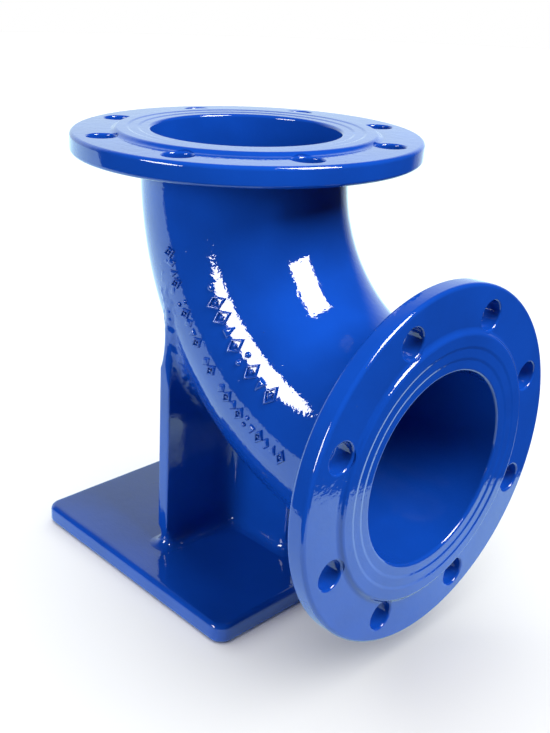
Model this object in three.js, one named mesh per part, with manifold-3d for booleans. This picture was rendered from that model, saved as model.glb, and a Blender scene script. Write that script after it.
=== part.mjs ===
// A DN 150 double-flanged 90 degree duckfoot bend in ductile iron: a pipe bend with a flange at each end,
// standing on a square foot plate by a cross of webs. The real object is one casting, and each region of
// it is a solid of its own here. Millimetres, +Z up, origin at the centre of the foot's underside, straight
// below the upper flange. The upper flange faces +Z and the outlet flange faces +X.
import * as THREE from "three";
import { mergeVertices } from "three/addons/utils/BufferGeometryUtils.js";
import Module from "manifold-3d";

// Driving dimensions
const axisHeight = 160; // from the ground to the outlet's centre line
const centreToFace = 220; // from the crossing of the two centre lines to each flange face
const pipeRadius = 85;
const boreRadius = 77;
const bendRadius = 188; // of the centre line
const flange = { radius: 142.5, thickness: 19, edge: 2.5 }; // the thickness takes in the raised face
const bolting = { circleRadius: 120, holes: 8, holeRadius: 11.5 };
const raisedFace = { radius: 105.5, height: 3, slope: 2.5, boreChamfer: 1.5 };
const groove = { radii: [94.5, 86], halfWidth: 1.2, depth: 0.8 }; // two rings turned in the raised face
const neckFillet = 8;
const foot = { width: 250, thickness: 18, corner: 13, edge: 4.5 };
const web = { thickness: 12, crossReach: 83.5, crossOffset: 2, centreReach: 80 };
const webHeight = { cross: 125, front: 60, back: 140 }; // above the outlet's centre line, before cutting
// Raised cast marks on the near side of the bend: plain dots and bars in two rows that follow it.
// from and to are angles round the bend from its upper end, and around is the angle from its outer side.
const mark = { proud: 1.5, sunk: 3 };
const markRows = [
  { around: 1.6, from: 0.38, to: 1.32, width: 7, lengths: [4, 4, 11, 4, 11, 11, 4, 4, 11, 4, 11, 4] },
  { around: 1.93, from: 0.5, to: 1.13, width: 12, lengths: [5, 12, 5, 5, 12, 5] },
];
const gap = 0.3; // between a curved or turned piece and the piece that it meets
const roundSegments = 48;
const holeSegments = 16;
const bendSegments = { along: 14, around: 40 };
const edgeSegments = 2;

// Places worked out from them
const bendCentre = new THREE.Vector3(bendRadius, 0, axisHeight + bendRadius);
const flangeBack = centreToFace - flange.thickness; // from the crossing of the centre lines

const wasm = await Module();
wasm.setup();

// Boolean work

function toSolid(geometry) {
  const bare = geometry.clone();
  bare.deleteAttribute("normal");
  bare.deleteAttribute("uv");
  const merged = mergeVertices(bare, 1e-4);
  return new wasm.Manifold(
    new wasm.Mesh({
      numProp: 3,
      vertProperties: merged.attributes.position.array,
      triVerts: new Uint32Array(merged.index.array),
    }),
  );
}

function toGeometry(solid) {
  const mesh = solid.getMesh();
  const geometry = new THREE.BufferGeometry();
  geometry.setAttribute("position", new THREE.BufferAttribute(new Float32Array(mesh.vertProperties), 3));
  geometry.setIndex(new THREE.BufferAttribute(new Uint32Array(mesh.triVerts), 1));
  geometry.computeVertexNormals();
  return geometry;
}

// The bend

class BendLine extends THREE.Curve {
  getPoint(t, target = new THREE.Vector3()) {
    const angle = (t * Math.PI) / 2;
    const x = bendCentre.x - bendRadius * Math.cos(angle);
    const z = bendCentre.z - bendRadius * Math.sin(angle);
    return target.set(x, 0, z);
  }
}

function bendTube(radius, innerRadius = 0) {
  const shape = new THREE.Shape().absarc(0, 0, radius, 0, 2 * Math.PI, false);
  if (innerRadius > 0) {
    shape.holes.push(new THREE.Path().absarc(0, 0, innerRadius, 0, 2 * Math.PI, true));
  }
  const options = {
    extrudePath: new BendLine(),
    steps: bendSegments.along,
    curveSegments: bendSegments.around / 2,
    bevelEnabled: false,
  };
  return new THREE.ExtrudeGeometry(shape, options);
}

// One raised mark: a small block sunk in the wall, its length along the bend
function markBlock(along, around, width, length) {
  const outward = new THREE.Vector3(
    -Math.cos(around) * Math.cos(along),
    -Math.sin(around),
    -Math.cos(around) * Math.sin(along),
  );
  const forward = new THREE.Vector3(Math.sin(along), 0, -Math.cos(along));
  const sideways = new THREE.Vector3().crossVectors(outward, forward);
  const onLine = new THREE.Vector3(-Math.cos(along), 0, -Math.sin(along)).multiplyScalar(bendRadius);
  const middle = pipeRadius + (mark.proud - mark.sunk) / 2;
  const place = bendCentre.clone().add(onLine).addScaledVector(outward, middle);
  const turn = new THREE.Matrix4().makeBasis(forward, sideways, outward).setPosition(place);
  return new THREE.BoxGeometry(length, width, mark.proud + mark.sunk).applyMatrix4(turn);
}

function bendWithMarks() {
  let body = toSolid(bendTube(pipeRadius, boreRadius));
  for (const { around, from, to, width, lengths } of markRows) {
    lengths.forEach((length, index) => {
      const along = from + ((to - from) * index) / (lengths.length - 1);
      body = body.add(toSolid(markBlock(along, around, width, length)));
    });
  }
  return toGeometry(body);
}

// Turned parts: a closed profile of [radius, height], read counterclockwise

function turned(profile) {
  const points = [...profile, profile[0]].map(([radius, height]) => new THREE.Vector2(radius, height));
  return new THREE.LatheGeometry(points, roundSegments).rotateX(Math.PI / 2);
}

function arc([centreRadius, centreHeight], radius, from, to) {
  return Array.from({ length: edgeSegments + 1 }, (_, step) => {
    const angle = from + ((to - from) * step) / edgeSegments;
    return [centreRadius + radius * Math.cos(angle), centreHeight + radius * Math.sin(angle)];
  });
}

// The straight neck between the bend and a flange, with the fillet behind the flange
function neck() {
  const low = bendRadius + gap;
  const high = flangeBack - gap;
  const fillet = arc([pipeRadius + neckFillet, high - neckFillet], neckFillet, Math.PI, Math.PI / 2);
  return turned([[boreRadius, low], [pipeRadius, low], ...fillet, [boreRadius, high]]);
}

// A flange with its back at height 0. The bolt holes straddle the two planes through its centre line.
function drilledFlange() {
  const quarter = Math.PI / 2;
  const bare = flange.thickness - raisedFace.height;
  const inner = flange.radius - flange.edge;
  const grooves = groove.radii.flatMap((radius) => [
    [radius + groove.halfWidth, flange.thickness],
    [radius, flange.thickness - groove.depth],
    [radius - groove.halfWidth, flange.thickness],
  ]);
  const blank = turned([
    [boreRadius, 0],
    ...arc([inner, flange.edge], flange.edge, -quarter, 0),
    ...arc([inner, bare - flange.edge], flange.edge, 0, quarter),
    [raisedFace.radius + raisedFace.slope, bare],
    [raisedFace.radius, flange.thickness],
    ...grooves,
    [boreRadius + raisedFace.boreChamfer, flange.thickness],
    [boreRadius, flange.thickness - raisedFace.boreChamfer],
  ]);
  let body = toSolid(blank);
  for (let hole = 0; hole < bolting.holes; hole++) {
    const angle = ((hole + 0.5) * 2 * Math.PI) / bolting.holes;
    const x = bolting.circleRadius * Math.cos(angle);
    const y = bolting.circleRadius * Math.sin(angle);
    const drill = new THREE.CylinderGeometry(bolting.holeRadius, bolting.holeRadius, 100, holeSegments);
    body = body.subtract(toSolid(drill.rotateX(Math.PI / 2).translate(x, y, 0)));
  }
  return toGeometry(body);
}

// The foot

function footPlate() {
  const side = foot.width / 2 - foot.edge;
  const radius = foot.corner - foot.edge;
  const shape = new THREE.Shape();
  for (const [x, y, quarter] of [[1, 1, 0], [-1, 1, 1], [-1, -1, 2], [1, -1, 3]]) {
    const start = (quarter * Math.PI) / 2;
    shape.absarc(x * (side - radius), y * (side - radius), radius, start, start + Math.PI / 2, false);
  }
  const options = {
    depth: foot.thickness - 2 * foot.edge,
    curveSegments: 6,
    bevelThickness: foot.edge,
    bevelSize: foot.edge,
    bevelSegments: edgeSegments,
  };
  return new THREE.ExtrudeGeometry(shape, options).translate(0, 0, foot.edge);
}

// One arm of the cross of webs, between two corners in plan, standing on the foot and cut to fit the bend
function webArm([lowX, lowY], [highX, highY], height) {
  const top = axisHeight + height;
  const blank = new THREE.BoxGeometry(highX - lowX, highY - lowY, top - foot.thickness);
  blank.translate((lowX + highX) / 2, (lowY + highY) / 2, (foot.thickness + top) / 2);
  const clearance = toSolid(bendTube(pipeRadius + gap));
  return toGeometry(toSolid(blank).subtract(clearance));
}

// The assembly

const bend = new THREE.Group();

function addPiece(name, geometry) {
  const material = new THREE.MeshStandardMaterial({ color: 0x0f47ae, roughness: 0.12, metalness: 0 });
  const mesh = new THREE.Mesh(geometry, material);
  mesh.name = name;
  bend.add(mesh);
  return mesh;
}

addPiece("bend_pipe", bendWithMarks());

// A neck and a flange are made upright about their centre line. The outlet's are laid along +X.
addPiece("upper_neck", neck()).position.set(0, 0, axisHeight);
addPiece("upper_flange", drilledFlange()).position.set(0, 0, axisHeight + flangeBack);
const outletNeck = addPiece("outlet_neck", neck());
outletNeck.position.set(0, 0, axisHeight);
outletNeck.rotation.set(0, Math.PI / 2, 0);
const outletFlange = addPiece("outlet_flange", drilledFlange());
outletFlange.position.set(flangeBack, 0, axisHeight);
outletFlange.rotation.set(0, Math.PI / 2, 0);

addPiece("foot_plate", footPlate());
const half = web.thickness / 2;
const crossLow = web.crossOffset - half;
const crossHigh = web.crossOffset + half;
addPiece("cross_web_near", webArm([crossLow, -web.crossReach], [crossHigh, 0], webHeight.cross));
addPiece("cross_web_far", webArm([crossLow, 0], [crossHigh, web.crossReach], webHeight.cross));
addPiece("centre_web_front", webArm([crossHigh, -half], [web.centreReach, half], webHeight.front));
addPiece("centre_web_back", webArm([-web.centreReach, -half], [crossLow, half], webHeight.back));

export default bend;
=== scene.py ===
import math

import bmesh
import bpy
from mathutils import Matrix, Vector


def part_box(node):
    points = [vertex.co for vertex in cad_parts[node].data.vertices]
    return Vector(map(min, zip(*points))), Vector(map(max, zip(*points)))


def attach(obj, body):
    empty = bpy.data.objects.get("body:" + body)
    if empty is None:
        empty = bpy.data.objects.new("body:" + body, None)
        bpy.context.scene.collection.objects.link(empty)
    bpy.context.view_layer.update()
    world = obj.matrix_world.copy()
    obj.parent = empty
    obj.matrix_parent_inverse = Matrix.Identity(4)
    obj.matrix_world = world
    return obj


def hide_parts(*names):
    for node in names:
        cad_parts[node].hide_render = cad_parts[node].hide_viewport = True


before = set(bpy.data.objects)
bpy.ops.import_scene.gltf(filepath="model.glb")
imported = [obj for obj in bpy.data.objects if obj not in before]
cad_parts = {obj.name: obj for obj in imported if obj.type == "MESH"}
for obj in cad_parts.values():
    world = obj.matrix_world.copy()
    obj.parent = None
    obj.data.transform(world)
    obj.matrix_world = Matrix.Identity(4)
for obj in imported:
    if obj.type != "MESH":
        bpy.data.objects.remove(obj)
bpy.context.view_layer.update()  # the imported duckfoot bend, one node for each region of the casting
mm = 0.001
tiny = mm / 1000  # points closer than this are one place
weld = mm / 200

# places on the casting, read from the frame
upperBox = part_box("upper_flange")
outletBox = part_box("outlet_flange")
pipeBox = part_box("bend_pipe")
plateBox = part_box("foot_plate")
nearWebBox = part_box("cross_web_near")
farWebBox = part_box("cross_web_far")
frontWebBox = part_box("centre_web_front")
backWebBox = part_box("centre_web_back")
flangeRadius = (upperBox[1].x - upperBox[0].x) / 2
flangeThickness = upperBox[1].z - upperBox[0].z
upperBack = upperBox[0].z
outletBack = outletBox[0].x
axisHeight = (outletBox[0].z + outletBox[1].z) / 2
pipeRadius = -pipeBox[0].x
bendRadius = pipeBox[1].z - axisHeight
bendCentre = Vector((bendRadius, 0, axisHeight + bendRadius))
plateTop = plateBox[1].z


# small helpers
def pickNothing():
    if bpy.context.mode != "OBJECT":
        bpy.ops.object.mode_set(mode="OBJECT")
    bpy.ops.object.select_all(action="DESELECT")


def pickOnly(*pieces):
    pickNothing()
    for piece in pieces:
        piece.select_set(True)
    bpy.context.view_layer.objects.active = pieces[0]


def pickPoints(test):  # in edit mode, by place
    piece = bpy.context.object
    shape = bmesh.from_edit_mesh(piece.data)
    for part in (shape.faces, shape.edges, shape.verts):
        for item in part:
            item.select = False
    for point in shape.verts:
        point.select = test(piece.matrix_world @ point.co)
    shape.select_flush(True)
    bmesh.update_edit_mesh(piece.data)


def pickEdges(test):  # in edit mode, by the places of an edge's two ends
    bpy.ops.mesh.select_mode(type="EDGE")
    bpy.ops.mesh.select_all(action="DESELECT")
    piece = bpy.context.object
    shape = bmesh.from_edit_mesh(piece.data)
    for edge in shape.edges:
        if test(edge.verts[0].co, edge.verts[1].co):
            edge.select_set(True)
    bmesh.update_edit_mesh(piece.data)


def settle(piece):  # place, turn and size go into the mesh
    pickOnly(piece)
    bpy.ops.object.transform_apply(location=True, rotation=True, scale=True)


def finishModifiers(piece):
    pickOnly(piece)
    for modifier in list(piece.modifiers):
        bpy.ops.object.modifier_apply(modifier=modifier.name)


def combine(piece, other, operation):
    cut = piece.modifiers.new("cut", "BOOLEAN")
    cut.operation = operation
    cut.solver = "EXACT"
    cut.object = other
    finishModifiers(piece)
    bpy.data.objects.remove(other)


def pushAlong(step, times=1):
    for _ in range(times):
        bpy.ops.mesh.extrude_region_move(TRANSFORM_OT_translate={"value": step})


# a closed outline of (radius, height, rounding) corners, turned round the Z axis
def turnOutline(name, corners, steps, arcSteps=5):
    pickNothing()
    bpy.ops.mesh.primitive_plane_add(size=mm)
    piece = bpy.context.object
    piece.name = name
    bpy.ops.object.mode_set(mode="EDIT")
    bpy.ops.mesh.merge(type="CENTER")
    places = [Vector((radius, 0, height)) for radius, height, rounding in corners]
    bpy.ops.transform.translate(value=places[0])
    for here, there in zip(places, places[1:]):
        bpy.ops.mesh.extrude_vertices_move(TRANSFORM_OT_translate={"value": there - here})
    onAxis = [place.x < tiny for place in places]
    if not (onAxis[0] and onAxis[-1]):
        pickPoints(lambda p: min((p - places[0]).length, (p - places[-1]).length) < tiny)
        bpy.ops.mesh.edge_face_add()
    for index, (_, _, rounding) in enumerate(corners):
        if rounding:
            here = places[index]
            before = (places[index - 1] - here).normalized()
            after = (places[(index + 1) % len(places)] - here).normalized()
            turn = math.pi - before.angle(after)
            reach = rounding * math.tan(turn / 2)
            pickPoints(lambda p: (p - here).length < tiny)
            bpy.ops.mesh.bevel(offset=reach, segments=arcSteps, affect="VERTICES", clamp_overlap=False)
    bpy.ops.mesh.select_all(action="SELECT")
    bpy.ops.mesh.spin(steps=steps, angle=math.tau, center=(0, 0, 0), axis=(0, 0, 1))
    bpy.ops.mesh.select_all(action="SELECT")
    bpy.ops.mesh.remove_doubles(threshold=weld)
    bpy.ops.mesh.normals_make_consistent(inside=False)
    bpy.ops.object.mode_set(mode="OBJECT")
    return piece


def smoothShade(piece, angle, weighted=False):  # edges sharper than the angle stay sharp
    pickOnly(piece)
    bpy.ops.object.shade_smooth_by_angle(angle=math.radians(angle))
    if weighted:
        even = piece.modifiers.new("evenNormals", "WEIGHTED_NORMAL")
        even.keep_sharp = True
        finishModifiers(piece)


# both flanges, turned from one outline
flangeValues = {
    "boreRadius": 77 * mm,  # the pipe's too
    "boreRounding": 2.6 * mm,
    "raisedRadius": 105.5 * mm,
    "raisedHeight": 3 * mm,
    "raisedRounding": 3.2 * mm,
    "raisedFillet": 4.6 * mm,
    "raisedSlope": 3 * mm,
    "ringRadii": (94.4 * mm, 85.6 * mm),  # two shallow steps down towards the bore
    "ringStep": 0.6 * mm,
    "ringSlope": 2.2 * mm,
    "ringRounding": 3.2 * mm,
    "rimRounding": 3.2 * mm,
    "neckFillet": 8 * mm,
    "collarLength": 16 * mm,
    "collarWall": 81 * mm,  # the collar's inner side is buried in the pipe's wall
    "collarProud": 0.04 * mm,  # the collar covers the pipe's skin, and dips under it at its end
    "collarDip": 0.1 * mm,
    "collarFlat": 0.5 * mm,
    "facets": 160,
    "holeCircle": 120 * mm,
    "holeRadius": 11.5 * mm,
    "holeCount": 8,
    "holeRounding": 1.8 * mm,
    "holeFacets": 40,
    "holeArcSteps": 6,
    "cutterReach": 1.2 * mm,  # past each face
    "cutterGap": 0.03 * mm,  # keeps the mouth's edge off the face itself
    "sharpAngle": 35,
}


def makeUpperFlange():
    v = flangeValues
    face = flangeThickness
    rim = face - v["raisedHeight"]
    outerRing, innerRing = v["ringRadii"]
    step, slope, soft = v["ringStep"], v["ringSlope"], v["ringRounding"]
    collar = pipeRadius + v["collarProud"]
    corners = [
        (v["boreRadius"], 0, 0),
        (v["collarWall"], 0, 0),
        (v["collarWall"], -v["collarLength"], 0),
        (pipeRadius - v["collarDip"], -v["collarLength"], 0),
        (collar, -v["neckFillet"] - v["collarFlat"], 0),
        (collar, 0, v["neckFillet"]),
        (flangeRadius, 0, v["rimRounding"]),
        (flangeRadius, rim, v["rimRounding"]),
        (v["raisedRadius"] + v["raisedSlope"], rim, v["raisedFillet"]),
        (v["raisedRadius"], face, v["raisedRounding"]),
        (outerRing + slope, face, soft),
        (outerRing, face - step, soft),
        (innerRing + slope, face - step, soft),
        (innerRing, face - 2 * step, soft),
        (v["boreRadius"], face - 2 * step, v["boreRounding"]),
    ]
    flange = turnOutline("upperFlange", corners, v["facets"])
    for number in range(v["holeCount"]):
        turn = (number + 0.5) * math.tau / v["holeCount"]
        combine(flange, makeHoleCutter(turn, rim), "DIFFERENCE")
    return flange


# the hole's mouths are rounded, as the coating leaves them
def makeHoleCutter(turn, rim):
    v = flangeValues
    wide = v["holeRadius"] + v["holeRounding"]
    beyond, shallow = v["cutterReach"], v["cutterGap"]
    arc = v["holeRounding"] * 0.98  # ends just short of the wide part
    corners = [
        (0, -beyond, 0),
        (wide, -beyond, 0),
        (wide, -shallow, 0),
        (v["holeRadius"], -shallow, arc),
        (v["holeRadius"], rim + shallow, arc),
        (wide, rim + shallow, 0),
        (wide, flangeThickness + beyond, 0),
        (0, flangeThickness + beyond, 0),
    ]
    cutter = turnOutline("holeCutter", corners, v["holeFacets"], v["holeArcSteps"])
    cutter.location = (v["holeCircle"] * math.cos(turn), v["holeCircle"] * math.sin(turn), 0)
    settle(cutter)
    return cutter


def makeFlanges():
    upper = makeUpperFlange()
    outlet = upper.copy()
    outlet.data = upper.data.copy()
    outlet.name = "outletFlange"
    bpy.context.scene.collection.objects.link(outlet)
    upper.location = (0, 0, upperBack)
    outlet.rotation_euler = (0, math.pi / 2, 0)
    outlet.location = (outletBack, 0, axisHeight)
    for flange in (upper, outlet):
        settle(flange)
        smoothShade(flange, flangeValues["sharpAngle"], weighted=True)
    return upper, outlet


# the bent pipe, with its bore
pipeValues = {
    "facets": 160,
    "bendSteps": 96,
    "neckSteps": 3,
    "waveSize": 32 * mm,  # the slow waviness of a sand casting
    "waveDepth": 0.16 * mm,
    "quietEnd": 14 * mm,  # the ends stay true, where the flanges meet them
    "sharpAngle": 40,
}


def addWaves(piece, size, depth, group=None):
    waves = bpy.data.textures.new("castWaves", "CLOUDS")
    waves.noise_scale = size
    waves.noise_depth = 1
    bumpy = piece.modifiers.new("castWaves", "DISPLACE")
    bumpy.texture = waves
    bumpy.texture_coords = "LOCAL"
    bumpy.strength = depth
    bumpy.mid_level = 0.5
    if group:
        bumpy.vertex_group = group
    finishModifiers(piece)


def makePipe():
    v = pipeValues
    boreRadius = flangeValues["boreRadius"]
    pickNothing()
    bpy.ops.mesh.primitive_circle_add(vertices=v["facets"], radius=pipeRadius)
    pipe = bpy.context.object
    pipe.name = "bendPipe"
    bpy.ops.object.mode_set(mode="EDIT")
    bpy.ops.mesh.primitive_circle_add(vertices=v["facets"], radius=boreRadius)
    bpy.ops.mesh.select_all(action="SELECT")
    bpy.ops.transform.translate(value=(0, 0, upperBack))
    bpy.ops.mesh.bridge_edge_loops()
    neck = (upperBack - bendCentre.z) / v["neckSteps"]
    pickPoints(lambda p: True)
    pushAlong((0, 0, -neck), v["neckSteps"])
    bpy.ops.mesh.spin(steps=v["bendSteps"], angle=math.pi / 2, center=bendCentre, axis=(0, 1, 0))
    pushAlong((neck, 0, 0), v["neckSteps"])
    bpy.ops.mesh.select_all(action="SELECT")
    bpy.ops.mesh.remove_doubles(threshold=weld)
    bpy.ops.mesh.normals_make_consistent(inside=False)
    bpy.ops.object.mode_set(mode="OBJECT")
    wavy = pipe.vertex_groups.new(name="wavy")
    for point in pipe.data.vertices:
        toEnd = min(upperBack - point.co.z, outletBack - point.co.x)
        wavy.add([point.index], min(1, max(0, toEnd / v["quietEnd"] - 1)), "REPLACE")
    addWaves(pipe, v["waveSize"], v["waveDepth"], "wavy")
    smoothShade(pipe, v["sharpAngle"])
    return pipe


# the webs under the bend, and their fillets
webValues = {
    "grid": 1.7 * mm,  # of the remesh
    "patchReach": 17 * mm,  # how far the skins under the fillets run out
    "patchDepth": 4 * mm,
    "sunk": 0.04 * mm,  # the skins lie just inside the pipe and the plate
    "filletPasses": 150,
    "edgePasses": 3,
    "filletZone": 18 * mm,
    "lumpSize": 7 * mm,  # the fillets under the pipe are lumpy, as the sand left them
    "lumpDepth": 3.4 * mm,
    "lumpMiddle": 2 * mm,  # the lumps are strongest this far outside the pipe
    "lumpZone": 6 * mm,
    "frontRise": 15 * mm,  # the front web runs up into the pipe before the pipe is cut from it
    "rodFacets": 96,
    "rodSteps": 64,
    "rodRun": 60 * mm,
    "sharpAngle": 60,
}


# the pipe's core as a solid rod, run on straight past both ends
def makeRod(radius):
    v = webValues
    run = v["rodRun"]
    pickNothing()
    bpy.ops.mesh.primitive_circle_add(vertices=v["rodFacets"], radius=radius, fill_type="NGON")
    rod = bpy.context.object
    bpy.ops.object.mode_set(mode="EDIT")
    bpy.ops.transform.translate(value=(0, 0, bendCentre.z + run))
    pushAlong((0, 0, -run))
    bpy.ops.mesh.spin(steps=v["rodSteps"], angle=math.pi / 2, center=bendCentre, axis=(0, 1, 0))
    pushAlong((run, 0, 0))
    bpy.ops.mesh.select_all(action="SELECT")
    bpy.ops.mesh.remove_doubles(threshold=weld)
    bpy.ops.mesh.select_all(action="DESELECT")
    shape = bmesh.from_edit_mesh(rod.data)
    ends = (Vector((0, 0, bendCentre.z + run)), Vector((bendCentre.x + run, 0, axisHeight)))
    for face in shape.faces:
        middle = face.calc_center_median()
        crosswise = len(face.verts) > 4
        face.select = crosswise and min((middle - end).length for end in ends) > mm
    bmesh.update_edit_mesh(rod.data)
    bpy.ops.mesh.delete(type="FACE")
    bpy.ops.mesh.select_all(action="SELECT")
    bpy.ops.mesh.normals_make_consistent(inside=False)
    bpy.ops.object.mode_set(mode="OBJECT")
    return rod


def makeBlock(low, high):
    low, high = Vector(low), Vector(high)
    pickNothing()
    bpy.ops.mesh.primitive_cube_add(size=1, location=(low + high) / 2, scale=high - low)
    block = bpy.context.object
    settle(block)
    return block


# the cross of webs as three blocks, grown sideways and upwards
def webBlocks(grow, bottom):
    frontTop = frontWebBox[1].z + webValues["frontRise"]
    boxes = (
        (nearWebBox[0], (farWebBox[1].x, farWebBox[1].y, nearWebBox[1].z)),
        (backWebBox[0], (0, backWebBox[1].y, backWebBox[1].z)),
        ((0, frontWebBox[0].y, frontWebBox[0].z), (frontWebBox[1].x, frontWebBox[1].y, frontTop)),
    )
    blocks = []
    for low, high in boxes:
        low = Vector((low[0] - grow, low[1] - grow, bottom))
        high = Vector((high[0] + grow, high[1] + grow, high[2] + grow))
        blocks.append(makeBlock(low, high))
    whole = blocks[0]
    for block in blocks[1:]:
        combine(whole, block, "UNION")
    return whole


# the webs, with a skin of the pipe and of the plate round them, are remeshed as one and smoothed,
# which draws the cast fillets
def makeWebs():
    v = webValues
    core = pipeRadius - v["patchDepth"]
    webs = webBlocks(0, plateTop - v["patchDepth"])
    combine(webs, makeRod(core), "DIFFERENCE")
    patch = webBlocks(v["patchReach"], plateTop)
    combine(patch, makeRod(pipeRadius - v["sunk"]), "INTERSECT")
    combine(patch, makeRod(core), "DIFFERENCE")
    slab = webBlocks(v["patchReach"], plateTop - v["patchDepth"])
    above = makeBlock((-1, -1, plateTop - v["sunk"]), (1, 1, 1))
    combine(slab, above, "DIFFERENCE")
    pickOnly(webs, patch, slab)
    bpy.ops.object.join()
    webs = bpy.context.object
    webs.name = "footWebs"
    webs.data.remesh_voxel_size = v["grid"]
    webs.data.remesh_voxel_adaptivity = 0
    bpy.ops.object.voxel_remesh()
    fillet = webs.vertex_groups.new(name="fillet")
    zone = v["filletZone"]
    crossX = (nearWebBox[0].x + nearWebBox[1].x) / 2
    halfWeb = (frontWebBox[1].y - frontWebBox[0].y) / 2
    for point in webs.data.vertices:
        p = point.co
        toWebs = max(abs(p.x - crossX), abs(p.y)) - halfWeb  # from the line where the webs cross
        away = min(abs(overPipe(p)), abs(p.z - plateTop), toWebs)
        fillet.add([point.index], min(1, max(0, 2 - 2 * away / zone)), "REPLACE")
    soften(webs, v["edgePasses"])
    soften(webs, v["filletPasses"], "fillet")
    lumpy = webs.vertex_groups.new(name="lumpy")
    for point in webs.data.vertices:
        away = abs(overPipe(point.co) - v["lumpMiddle"])
        lumpy.add([point.index], max(0, 1 - away / v["lumpZone"]), "REPLACE")
    addWaves(webs, v["lumpSize"], v["lumpDepth"], "lumpy")
    smoothShade(webs, v["sharpAngle"])
    return webs


def overPipe(p):  # how far a point is outside the pipe's outer surface
    if p.z > bendCentre.z:
        return math.hypot(p.x, p.y) - pipeRadius
    if p.x > bendCentre.x:
        return math.hypot(p.y, p.z - axisHeight) - pipeRadius
    ring = math.hypot(p.x - bendCentre.x, p.z - bendCentre.z)
    return math.hypot(ring - bendRadius, p.y) - pipeRadius


def soften(piece, passes, group=None):
    smooth = piece.modifiers.new("soften", "SMOOTH")
    smooth.factor = 0.5
    smooth.iterations = passes
    if group:
        smooth.vertex_group = group
    finishModifiers(piece)


# foot plate
plateValues = {
    "corner": 13 * mm,
    "cornerSteps": 10,
    "edge": 5 * mm,
    "edgeSteps": 6,
    "sag": 0.6 * mm,  # the edges that a sand mould leaves are never quite straight
    "sagSize": 60 * mm,
    "grid": 4 * mm,
    "inset": 0.4 * mm,  # room for the unevenness inside the plate's box
    "sharpAngle": 40,
}


def makePlate():
    v = plateValues
    spare = Vector((v["inset"], v["inset"], 0))
    plate = makeBlock(plateBox[0] + spare, plateBox[1] - spare)
    plate.name = "footPlate"
    bpy.ops.object.mode_set(mode="EDIT")
    pickEdges(lambda a, b: abs(a.z - b.z) > mm)  # the four upright edges
    bpy.ops.mesh.bevel(offset=v["corner"], segments=v["cornerSteps"], affect="EDGES")
    pickEdges(lambda a, b: abs(a.z - b.z) < mm / 10)  # then those round the top and the underside
    bpy.ops.mesh.bevel(offset=v["edge"], segments=v["edgeSteps"], affect="EDGES")
    for axis in (0, 1):  # cut into a grid, so that the unevenness has points to move
        low, high = plateBox[0][axis], plateBox[1][axis]
        for step in range(1, int((high - low) / v["grid"])):
            bpy.ops.mesh.select_all(action="SELECT")
            place = Vector((0, 0, 0))
            place[axis] = low + step * v["grid"]
            direction = Vector((0, 0, 0))
            direction[axis] = 1
            bpy.ops.mesh.bisect(plane_co=place, plane_no=direction)
    bpy.ops.object.mode_set(mode="OBJECT")
    uneven = plate.vertex_groups.new(name="uneven")
    for point in plate.data.vertices:
        fromSideX = abs(abs(point.co.x) - plateBox[1].x)
        fromSideY = abs(abs(point.co.y) - plateBox[1].y)
        onSide = min(fromSideX, fromSideY) < v["edge"] and point.co.z > v["edge"] / 2
        uneven.add([point.index], 1.0 if onSide else 0.0, "REPLACE")
    addWaves(plate, v["sagSize"], v["sag"], "uneven")
    smoothShade(plate, v["sharpAngle"], weighted=True)
    return plate


# raised cast marks: plain diamonds, lozenges, triangles and studs in two rows along the bend
markValues = {
    "rows": (  # angles in radians: round the pipe from the bend's back, and along the bend from its top
        {
            "around": 1.56,
            "first": 0.30,
            "last": 1.31,
            "width": 13 * mm,
            "pattern": "DLtD :DLvD LD LDLD:vDLtD",
        },
        {"around": 1.95, "first": 0.50, "last": 1.12, "width": 17 * mm, "pattern": "oDDtD:DvD"},
    ),
    "height": 1.8 * mm,  # proud of the pipe
    "sunk": 1.5 * mm,
    "stroke": 1.8 * mm,  # half the thickness of a diamond's outline
    "narrow": 0.66,
    "facets": {"L": 4, "t": 3, "v": 3},  # lozenges, and triangles pointing either way
    "studFlat": 0.75,
    "sharpAngle": 60,
    # in widths of the row
    "diamond": 0.55,
    "base": 0.6,
    "top": 0.34,
    "rounding": 0.08,
    "studs": {"o": 0.2, ":": 0.15, "D": 0.1},  # one, a pair, or one inside a diamond
    "pairPlaces": (-0.3, 0.3),
}


def makeMark(kind, width):
    v = markValues
    marks = []
    pickNothing()
    if kind == "D":
        bpy.ops.mesh.primitive_torus_add(
            major_radius=width * v["diamond"] - v["stroke"],
            minor_radius=v["stroke"],
            major_segments=4,
            minor_segments=14,
            generate_uvs=False,
        )
        bpy.context.object.scale = (v["narrow"], 1, 1)
        settle(bpy.context.object)
        marks.append(bpy.context.object)
    if kind in v["facets"]:
        bpy.ops.mesh.primitive_cone_add(
            vertices=v["facets"][kind],
            radius1=width * v["base"],
            radius2=width * v["top"],
            depth=v["height"] + v["sunk"],
            location=(0, 0, (v["height"] - v["sunk"]) / 2),
            rotation=(0, 0, math.pi if kind == "v" else 0),
            scale=(v["narrow"], 1, 1),
        )
        mark = bpy.context.object
        settle(mark)
        bpy.ops.object.mode_set(mode="EDIT")
        bpy.ops.mesh.select_all(action="SELECT")
        bpy.ops.mesh.bevel(offset=width * v["rounding"], segments=5, affect="EDGES")
        bpy.ops.object.mode_set(mode="OBJECT")
        marks.append(mark)
    if kind in v["studs"]:
        radius = width * v["studs"][kind]
        for across in v["pairPlaces"] if kind == ":" else (0,):
            bpy.ops.mesh.primitive_uv_sphere_add(
                segments=20,
                ring_count=12,
                radius=radius,
                location=(0, across * width, v["height"] - radius * v["studFlat"]),
                scale=(1, 1, v["studFlat"]),
            )
            settle(bpy.context.object)
            marks.append(bpy.context.object)
    pickOnly(*marks)
    if len(marks) > 1:
        bpy.ops.object.join()
    return bpy.context.object


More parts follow.
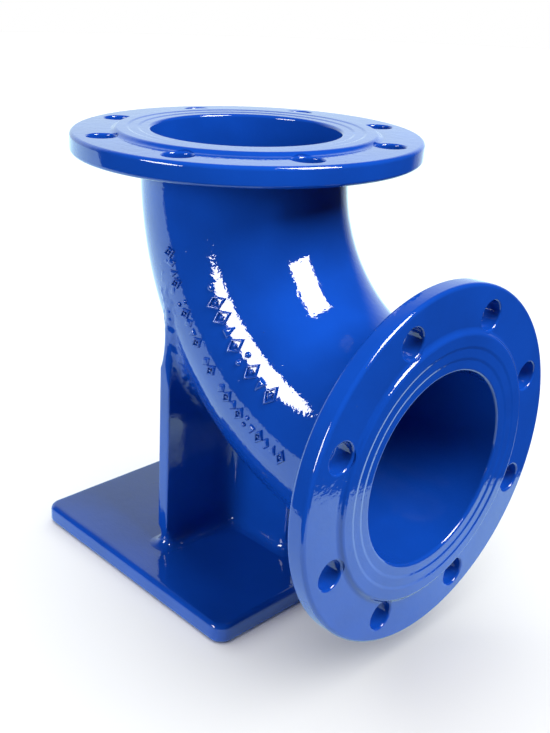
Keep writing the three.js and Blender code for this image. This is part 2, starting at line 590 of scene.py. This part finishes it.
def makeMarks():
    marks = []
    for row in markValues["rows"]:
        around = row["around"]
        for index, kind in enumerate(row["pattern"]):
            if kind == " ":
                continue
            along = row["first"] + (row["last"] - row["first"]) * index / (len(row["pattern"]) - 1)
            away = Vector((-math.cos(along), 0, -math.sin(along)))  # from the bend's centre
            forward = Vector((math.sin(along), 0, -math.cos(along)))
            outward = math.cos(around) * away - math.sin(around) * Vector((0, 1, 0))
            onLine = bendCentre + bendRadius * away
            mark = makeMark(kind, row["width"])
            turn = Matrix((forward, outward.cross(forward), outward)).transposed().to_4x4()
            mark.matrix_world = Matrix.Translation(onLine + outward * pipeRadius) @ turn
            marks.append(mark)
    pickOnly(*marks)
    bpy.ops.object.join()
    marks = bpy.context.object
    marks.name = "castMarks"
    settle(marks)
    smoothShade(marks, markValues["sharpAngle"])
    return marks


# materials
def toLinear(hexColour, alpha=1.0):
    channels = [int(hexColour[i : i + 2], 16) / 255 for i in (1, 3, 5)]
    return [c / 12.92 if c <= 0.04045 else ((c + 0.055) / 1.055) ** 2.4 for c in channels] + [alpha]


# a setting is the node's own or a socket's value, and a link is named for its socket, with _ for a space
def addNode(tree, kind, settings=None, **links):
    node = tree.nodes.new(kind)
    for key, value in (settings or {}).items():
        if hasattr(node, key):
            setattr(node, key, value)
        else:
            node.inputs[key].default_value = value
    for key, source in links.items():
        tree.links.new(source, node.inputs[key.replace("_", " ")])
    return node


# Fusion-bonded epoxy: powder melted on the hot casting. It flows to a wet-looking gloss with an orange peel
# that frays the edges of a highlight, varies a little in depth of blue, and keeps a few grains of dust.
epoxyValues = {
    "colour": "#0B3D99",
    "deepColour": "#0A378C",
    "patchSize": 60 * mm,
    "patchSpan": (0.3, 0.7),  # where the noise turns from the deep colour to the other
    "roughness": 0.035,
    "ior": 1.57,
    "peelSize": 2.6 * mm,
    "peelDepth": 0.07 * mm,
    "swellSize": 9 * mm,  # the slower unevenness under the peel
    "swellDepth": 0.12 * mm,
    "grainCell": 17 * mm,  # at most one grain of dust in each such cell
    "grainSize": 0.7 * mm,
    "grainHeight": 0.25 * mm,
}


def makeEpoxy():
    v = epoxyValues
    material = bpy.data.materials.new("blueFusionBondedEpoxy")
    material.use_nodes = True
    tree = material.node_tree
    tree.nodes.clear()
    place = addNode(tree, "ShaderNodeTexCoord").outputs["Object"]

    patchSettings = {"Scale": 1 / v["patchSize"], "Detail": 3.0}
    patches = addNode(tree, "ShaderNodeTexNoise", patchSettings, Vector=place)
    colour = addNode(tree, "ShaderNodeValToRGB", Fac=patches.outputs["Fac"])
    steps = zip(colour.color_ramp.elements, v["patchSpan"], (v["deepColour"], v["colour"]))
    for element, position, hexColour in steps:
        element.position = position
        element.color = toLinear(hexColour)

    peelSettings = {"Scale": 1 / v["peelSize"], "Detail": 1.0}
    peel = addNode(tree, "ShaderNodeTexNoise", peelSettings, Vector=place)
    swellSettings = {"Scale": 1 / v["swellSize"], "Detail": 2.0}
    swell = addNode(tree, "ShaderNodeTexNoise", swellSettings, Vector=place)
    swellBump = addNode(
        tree,
        "ShaderNodeBump",
        {"Strength": 1.0, "Distance": v["swellDepth"]},
        Height=swell.outputs["Fac"],
    )
    peelBump = addNode(
        tree,
        "ShaderNodeBump",
        {"Strength": 1.0, "Distance": v["peelDepth"]},
        Height=peel.outputs["Fac"],
        Normal=swellBump.outputs["Normal"],
    )

    cells = addNode(tree, "ShaderNodeTexVoronoi", {"Scale": 1 / v["grainCell"]}, Vector=place)
    grainEdge = v["grainSize"] / v["grainCell"]  # measured in cells
    grains = addNode(
        tree,
        "ShaderNodeMapRange",
        {"From Min": grainEdge, "From Max": 0.0, "interpolation_type": "SMOOTHSTEP"},
        Value=cells.outputs["Distance"],
    )
    grainBump = addNode(
        tree,
        "ShaderNodeBump",
        {"Strength": 1.0, "Distance": v["grainHeight"]},
        Height=grains.outputs["Result"],
        Normal=peelBump.outputs["Normal"],
    )

    coat = addNode(
        tree,
        "ShaderNodeBsdfPrincipled",
        {"Roughness": v["roughness"], "IOR": v["ior"]},
        Base_Color=colour.outputs["Color"],
        Normal=grainBump.outputs["Normal"],
    )
    addNode(tree, "ShaderNodeOutputMaterial", Surface=coat.outputs["BSDF"])
    return material


def makePaper(name, colour):  # matt, for the floor and the table
    material = bpy.data.materials.new(name)
    material.use_nodes = True
    shader = material.node_tree.nodes["Principled BSDF"]
    shader.inputs["Base Color"].default_value = toLinear(colour)
    shader.inputs["Roughness"].default_value = 1.0
    shader.inputs["Specular IOR Level"].default_value = 0.0
    return material


# the casting
upperFlange, outletFlange = makeFlanges()
print("flanges made")
bendPipe = makePipe()
print("pipe made")
footWebs = makeWebs()
print("webs made")
footPlate = makePlate()
print("foot plate made")
castMarks = makeMarks()
print("marks made")

epoxy = makeEpoxy()
standsFor = {
    upperFlange: ("upper_flange", "upper_neck"),
    outletFlange: ("outlet_flange", "outlet_neck"),
    bendPipe: ("bend_pipe",),
    footWebs: ("cross_web_near", "cross_web_far", "centre_web_front", "centre_web_back"),
    footPlate: ("foot_plate",),
    castMarks: (),
}
for piece, nodes in standsFor.items():
    piece.data.materials.clear()
    piece.data.materials.append(epoxy)
    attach(piece, "root")
    if nodes:
        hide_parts(*nodes)

# studio: a plain floor that only the camera sees, and a table that only reflections and bounced light see
groundValues = {
    "floorRadius": 6,
    "floorColour": "#D0D0D0",
    "tableSize": 10,
    "tableColour": "#CFF0F6",
    "tableDrop": 1 * mm,
    "tableEdges": ((-66, 0.41), (30, 0.43)),  # where the white table ends, as azimuth and distance
}

g = groundValues
pickNothing()
bpy.ops.mesh.primitive_circle_add(vertices=128, radius=g["floorRadius"], fill_type="NGON")
floor = bpy.context.object
floor.name = "floor"
floor.data.materials.append(makePaper("whiteFloor", g["floorColour"]))

bpy.ops.mesh.primitive_plane_add(size=g["tableSize"], location=(0, 0, -g["tableDrop"]))
table = bpy.context.object
table.name = "table"
table.data.materials.append(makePaper("coolWhiteTable", g["tableColour"]))
settle(table)
for azimuth, distance in g["tableEdges"]:
    outward = Vector((math.cos(math.radians(azimuth)), math.sin(math.radians(azimuth)), 0))
    bpy.ops.object.mode_set(mode="EDIT")
    bpy.ops.mesh.select_all(action="SELECT")
    bpy.ops.mesh.bisect(plane_co=outward * distance, plane_no=outward, clear_outer=True)
    bpy.ops.object.mode_set(mode="OBJECT")
floor.visible_shadow = False
table.visible_shadow = False
floor.visible_glossy = False
floor.visible_diffuse = False
table.visible_camera = False


def aimAt(thing, place, aim, roll):
    place, aim = Vector(place), Vector(aim)
    thing.rotation_mode = "QUATERNION"
    thing.location = place
    look = (aim - place).to_track_quat("-Z", "Y")
    thing.rotation_quaternion = look @ Matrix.Rotation(math.radians(roll), 4, "Z").to_quaternion()


# lights: angles in degrees, sizes in metres, softboxes in watts, the overhead light in watts a square metre
lightValues = {
    "softboxes": {
        "keySoftbox": {
            "shape": "RECTANGLE",
            "aim": (0.107, -0.030, 0.279),
            "azimuth": 9.7,
            "elevation": 49.6,
            "size": (0.9, 1.26),
            "roll": -7,
            "power": 94,
        },
        "sideSoftbox": {
            "shape": "ELLIPSE",
            "aim": (0.099, -0.073, 0.242),
            "azimuth": -98.7,
            "elevation": 15.4,
            "size": (0.66, 1.24),
            "roll": 50,
            "power": 42,
        },
    },
    "softboxDistance": 2.0,
    "overheadPower": 5.6,
    "overheadSpread": 110,
}


def addLight(name, kind, power):
    light = bpy.data.lights.new(name, kind)
    light.energy = power
    lamp = bpy.data.objects.new(name, light)
    bpy.context.scene.collection.objects.link(lamp)
    return lamp


def addSoftbox(name, box):
    lamp = addLight(name, "AREA", box["power"])
    lamp.data.shape = box["shape"]
    lamp.data.size, lamp.data.size_y = box["size"]
    lamp.visible_camera = False
    a, e = math.radians(box["azimuth"]), math.radians(box["elevation"])
    away = Vector((math.cos(e) * math.cos(a), math.cos(e) * math.sin(a), math.sin(e)))
    aimAt(lamp, Vector(box["aim"]) + away * lightValues["softboxDistance"], box["aim"], box["roll"])
    return lamp


def makeGroundCollection(name):
    ground = bpy.data.collections.new(name)
    ground.objects.link(floor)
    ground.objects.link(table)
    return ground


softboxes = [addSoftbox(name, box) for name, box in lightValues["softboxes"].items()]
overhead = addLight("groundLight", "SUN", lightValues["overheadPower"])
overhead.data.angle = math.radians(lightValues["overheadSpread"])

# The softboxes light the casting alone and the overhead light only the ground, which keeps the floor plain.
overhead.light_linking.receiver_collection = makeGroundCollection("ground")
offGround = makeGroundCollection("offGround")
for lamp in softboxes:
    lamp.light_linking.receiver_collection = offGround
for item in offGround.collection_objects:
    item.light_linking.link_state = "EXCLUDE"

# world: a dark room with a bright backdrop on one side, in reflections only, and plain white for the camera
backdropValues = {
    "colour": "#E2F8FF",
    "dark": 0.03,
    "bright": 1.35,
    "azimuth": 150,
    "sideSpan": (0.38, 0.8),  # cosine of the angle to the azimuth, from dark to bright
    "highSpan": (0.95, 0.45),  # sine of the elevation, from dark to bright
}


def makeWorld():
    v = backdropValues
    world = bpy.data.worlds.new("whiteStudio")
    world.use_nodes = True
    tree = world.node_tree
    tree.nodes.clear()
    direction = addNode(tree, "ShaderNodeTexCoord").outputs["Generated"]
    split = addNode(tree, "ShaderNodeSeparateXYZ", Vector=direction)
    towards = addNode(tree, "ShaderNodeVectorMath", {"operation": "DOT_PRODUCT"}, Vector=direction)
    turn = math.radians(v["azimuth"])
    towards.inputs[1].default_value = (math.cos(turn), math.sin(turn), 0)
    fades = []
    for span, source in ((v["sideSpan"], towards.outputs["Value"]), (v["highSpan"], split.outputs["Z"])):
        fadeSettings = {"From Min": span[0], "From Max": span[1], "interpolation_type": "SMOOTHSTEP"}
        fades.append(addNode(tree, "ShaderNodeMapRange", fadeSettings, Value=source))
    glow = addNode(tree, "ShaderNodeMath", {"operation": "MULTIPLY"})
    for socket, fade in zip(glow.inputs, fades):
        tree.links.new(fade.outputs["Result"], socket)
    strengthSettings = {"To Min": v["dark"], "To Max": v["bright"]}
    strength = addNode(tree, "ShaderNodeMapRange", strengthSettings, Value=glow.outputs["Value"])
    backdrop = addNode(
        tree,
        "ShaderNodeBackground",
        {"Color": toLinear(v["colour"])},
        Strength=strength.outputs["Result"],
    )
    plainWhite = addNode(tree, "ShaderNodeBackground", {"Color": toLinear("#FFFFFF")})
    path = addNode(tree, "ShaderNodeLightPath")
    shown = addNode(tree, "ShaderNodeMixShader", Fac=path.outputs["Is Camera Ray"])
    tree.links.new(backdrop.outputs["Background"], shown.inputs[1])
    tree.links.new(plainWhite.outputs["Background"], shown.inputs[2])
    addNode(tree, "ShaderNodeOutputWorld", Surface=shown.outputs["Shader"])
    return world


bpy.context.scene.world = makeWorld()

# camera: metres, with the roll in degrees and the lens in millimetres
cameraValues = {
    "place": (0.57293, -0.56011, 0.50845),
    "aim": (0.05565, -0.10295, 0.21532),
    "roll": 1.486,
    "lens": 47.80,
    "sideShift": 0.116,
    "nearest": 0.01,
}

c = cameraValues
camera = bpy.data.objects.new("camera", bpy.data.cameras.new("camera"))
bpy.context.scene.collection.objects.link(camera)
camera.data.lens = c["lens"]
camera.data.shift_x = c["sideShift"]
camera.data.clip_start = c["nearest"]
aimAt(camera, c["place"], c["aim"], c["roll"])
bpy.context.scene.camera = camera
bpy.context.scene.view_settings.view_transform = "Standard"
print("studio set")
